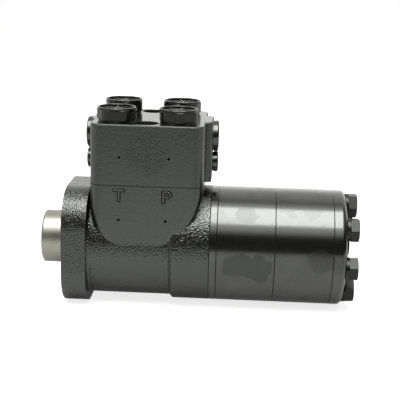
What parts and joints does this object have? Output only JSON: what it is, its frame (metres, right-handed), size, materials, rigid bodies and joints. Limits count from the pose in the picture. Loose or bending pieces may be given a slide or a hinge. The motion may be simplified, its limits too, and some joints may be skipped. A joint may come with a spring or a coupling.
{
  "type": "hydraulic steering unit",
  "caption": "Orbital steering unit: cast valve housing with ports on top, stacked gear rings and bolted cover, splined input stub that drives star rotors through a cardan shaft.",
  "frame": {"origin": "centre of the mounting face, on the shaft axis", "axes": "+X along the shaft from the mounting face towards the end cover, +Z towards the port face"},
  "size_m": [0.247, 0.0914, 0.1557],
  "materials": {
    "casting": "semi-gloss paint over a cast surface",
    "gear_stack": "semi-gloss paint over turned steel",
    "bolt_steel": "painted over with the stack",
    "washer_steel": "dark spring steel",
    "ground_steel": "turned and ground, bare",
    "hard_steel": "ground",
    "spring_steel": "drawn wire and rolled strip",
    "cage_brass": "pressed",
    "valve_steel": "black finish",
    "seal_washer": "soft steel",
    "plug_plastic": "moulded, satin",
    "seal_rubber": "matt"
  },
  "bodies": {
    "housing": {"housing": "casting", "distributor_plate": "gear_stack", "gear_ring_front": "gear_stack", "gear_ring_rear": "gear_stack", "end_cover": "gear_stack", "face_seals": "seal_rubber", "cover_bolts": "bolt_steel", "bolt_washers": "washer_steel", "dust_seal": "seal_rubber", "shaft_seal": "seal_rubber", "bearing_race_outer": "hard_steel", "check_seat": "hard_steel", "check_pin": "hard_steel", "relief_valve_plug": "valve_steel", "relief_valve_plug_washer": "seal_washer", "relief_valve_seat": "hard_steel", "relief_valve_spring": "spring_steel", "shock_valve_plug": "valve_steel", "shock_valve_plug_washer": "seal_washer", "shock_valve_seat": "hard_steel", "shock_valve_spring": "spring_steel", "suction_valve_left_plug": "valve_steel", "suction_valve_left_plug_washer": "seal_washer", "suction_valve_left_seat": "hard_steel", "suction_valve_left_spring": "spring_steel", "suction_valve_right_plug": "valve_steel", "suction_valve_right_plug_washer": "seal_washer", "suction_valve_right_seat": "hard_steel", "suction_valve_right_spring": "spring_steel", "port_plug_t": "plug_plastic", "port_seal_t": "seal_rubber", "port_plug_p": "plug_plastic", "port_seal_p": "seal_rubber", "port_plug_l": "plug_plastic", "port_seal_l": "seal_rubber", "port_plug_r": "plug_plastic", "port_seal_r": "seal_rubber"},
    "sleeve": {"sleeve": "hard_steel", "cross_pin": "hard_steel", "bearing_race_inner": "hard_steel", "neutral_springs": "spring_steel"},
    "spool": {"spool": "ground_steel"},
    "needle_cage": {"needle_cage": "cage_brass", "bearing_needles": "hard_steel"},
    "drive_spacer": {"drive_spacer": "hard_steel"},
    "rotor": {"rotor_front": "hard_steel", "rotor_rear": "hard_steel"},
    "cardan": {"cardan_shaft": "hard_steel"},
    "relief_poppet": {"relief_valve_poppet": "hard_steel"},
    "shock_poppet": {"shock_valve_poppet": "hard_steel"},
    "suction_ball_left": {"suction_valve_left_ball": "hard_steel"},
    "suction_ball_right": {"suction_valve_right_ball": "hard_steel"},
    "check_ball": {"check_ball": "hard_steel"}
  },
  "joints": [
    {"name": "steering_turn", "type": "hinge", "parent": "housing", "child": "sleeve", "pos_m": [0, 0, 0], "axis": [1, 0, 0], "continuous": true},
    {"name": "spool_play", "type": "hinge", "parent": "sleeve", "child": "spool", "pos_m": [0, 0, 0], "axis": [1, 0, 0], "range_deg": [-10, 10], "stiffness_Nm_per_rad": 8, "deforming": ["neutral_springs"]},
    {"name": "cage_turn", "type": "hinge", "parent": "housing", "child": "needle_cage", "pos_m": [0, 0, 0], "axis": [1, 0, 0], "continuous": true},
    {"name": "rotor_orbit", "type": "hinge", "parent": "housing", "child": "drive_spacer", "pos_m": [0, 0, 0], "axis": [1, 0, 0], "continuous": true},
    {"name": "rotor_spin", "type": "hinge", "parent": "drive_spacer", "child": "rotor", "pos_m": [0.1626, 0, -0.003], "axis": [1, 0, 0], "continuous": true},
    {"name": "cardan_spin", "type": "hinge", "parent": "drive_spacer", "child": "cardan", "pos_m": [0.056, 0, 0], "axis": [0.9996, 0, -0.0281], "continuous": true},
    {"name": "relief_open", "type": "slide", "parent": "housing", "child": "relief_poppet", "axis": [-1, 0, 0], "range_m": [0, 0.0012], "stiffness_N_per_m": 9000, "springref_m": -0.00278, "deforming": ["relief_valve_spring"]},
    {"name": "shock_open", "type": "slide", "parent": "housing", "child": "shock_poppet", "axis": [1, 0, 0], "range_m": [0, 0.0012], "stiffness_N_per_m": 9000, "springref_m": -0.00278, "deforming": ["shock_valve_spring"]},
    {"name": "suction_left_open", "type": "slide", "parent": "housing", "child": "suction_ball_left", "axis": [-1, 0, 0], "range_m": [0, 0.0012], "stiffness_N_per_m": 400, "springref_m": -0.001, "deforming": ["suction_valve_left_spring"]},
    {"name": "suction_right_open", "type": "slide", "parent": "housing", "child": "suction_ball_right", "axis": [1, 0, 0], "range_m": [0, 0.0012], "stiffness_N_per_m": 400, "springref_m": -0.001, "deforming": ["suction_valve_right_spring"]},
    {"name": "check_lift", "type": "slide", "parent": "housing", "child": "check_ball", "axis": [0, 0, 1], "range_m": [0, 0.0025]}
  ],
  "couplings": [
    {"joint": "cage_turn", "follows": "steering_turn", "ratio": 0.5},
    {"joint": "rotor_orbit", "follows": "steering_turn", "ratio": -6},
    {"joint": "rotor_spin", "follows": "steering_turn", "ratio": 7},
    {"joint": "cardan_spin", "follows": "steering_turn", "ratio": 7}
  ]
}
